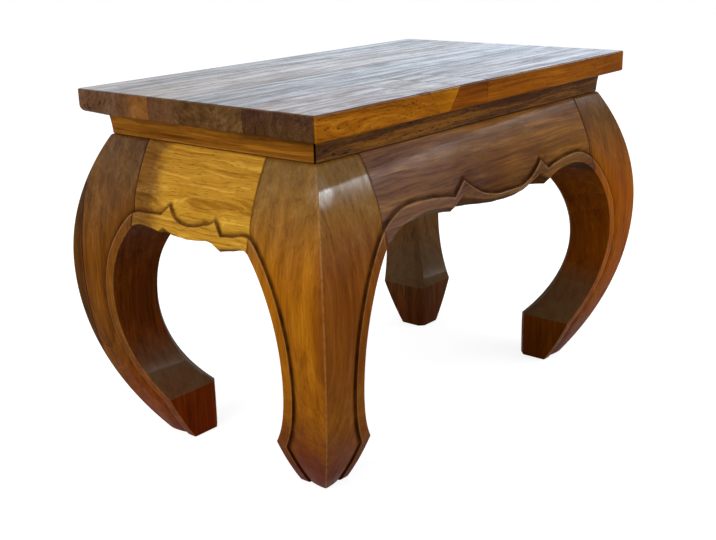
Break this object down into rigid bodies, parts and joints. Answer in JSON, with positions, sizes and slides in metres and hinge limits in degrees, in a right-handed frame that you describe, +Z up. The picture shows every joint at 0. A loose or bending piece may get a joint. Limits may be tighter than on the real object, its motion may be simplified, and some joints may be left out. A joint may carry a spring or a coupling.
{
  "type": "low table",
  "caption": "Low hardwood side table with a boarded top, recessed neck, scalloped carved aprons and inward-curling legs.",
  "frame": {"origin": "on the floor under the middle of the table", "axes": "+X along the long side, +Y along the short side towards the back, +Z up"},
  "size_m": [0.633, 0.387, 0.4155],
  "materials": {
    "top_boards": "glossy lacquer over brown stained hardwood, long grain along the table",
    "top_key": "glossy lacquer over pale hardwood",
    "neck_long": "satin lacquer over dark open-grained hardwood",
    "neck_short": "satin lacquer over orange-brown hardwood",
    "aprons_long": "satin lacquer over brown hardwood with dark streaks",
    "aprons_short": "satin lacquer over golden sapwood",
    "legs": "glossy lacquer over orange-brown hardwood, darker at the feet",
    "leg_cheeks": "glossy lacquer over orange-brown hardwood",
    "dowels": "plain turned hardwood",
    "screws": "zinc-plated steel"
  },
  "bodies": {
    "root": {"top_board_back": "top_boards", "top_board_middle_back": "top_boards", "top_board_middle_front": "top_boards", "top_board_front_left": "top_boards", "top_board_front_key": "top_key", "top_board_front_middle": "top_boards", "top_board_front_right": "top_boards", "top_edge_dowels": "dowels", "top_screws": "screws", "neck_rail_front": "neck_long", "neck_rail_back": "neck_long", "neck_rail_left": "neck_short", "neck_rail_right": "neck_short", "neck_dowels": "dowels", "apron_front": "aprons_long", "apron_back": "aprons_long", "apron_left": "aprons_short", "apron_right": "aprons_short", "leg_front_left": "legs", "leg_cheek_front_left": "leg_cheeks", "leg_front_right": "legs", "leg_cheek_front_right": "leg_cheeks", "leg_back_left": "legs", "leg_cheek_back_left": "leg_cheeks", "leg_back_right": "legs", "leg_cheek_back_right": "leg_cheeks"}
  },
  "joints": []
}
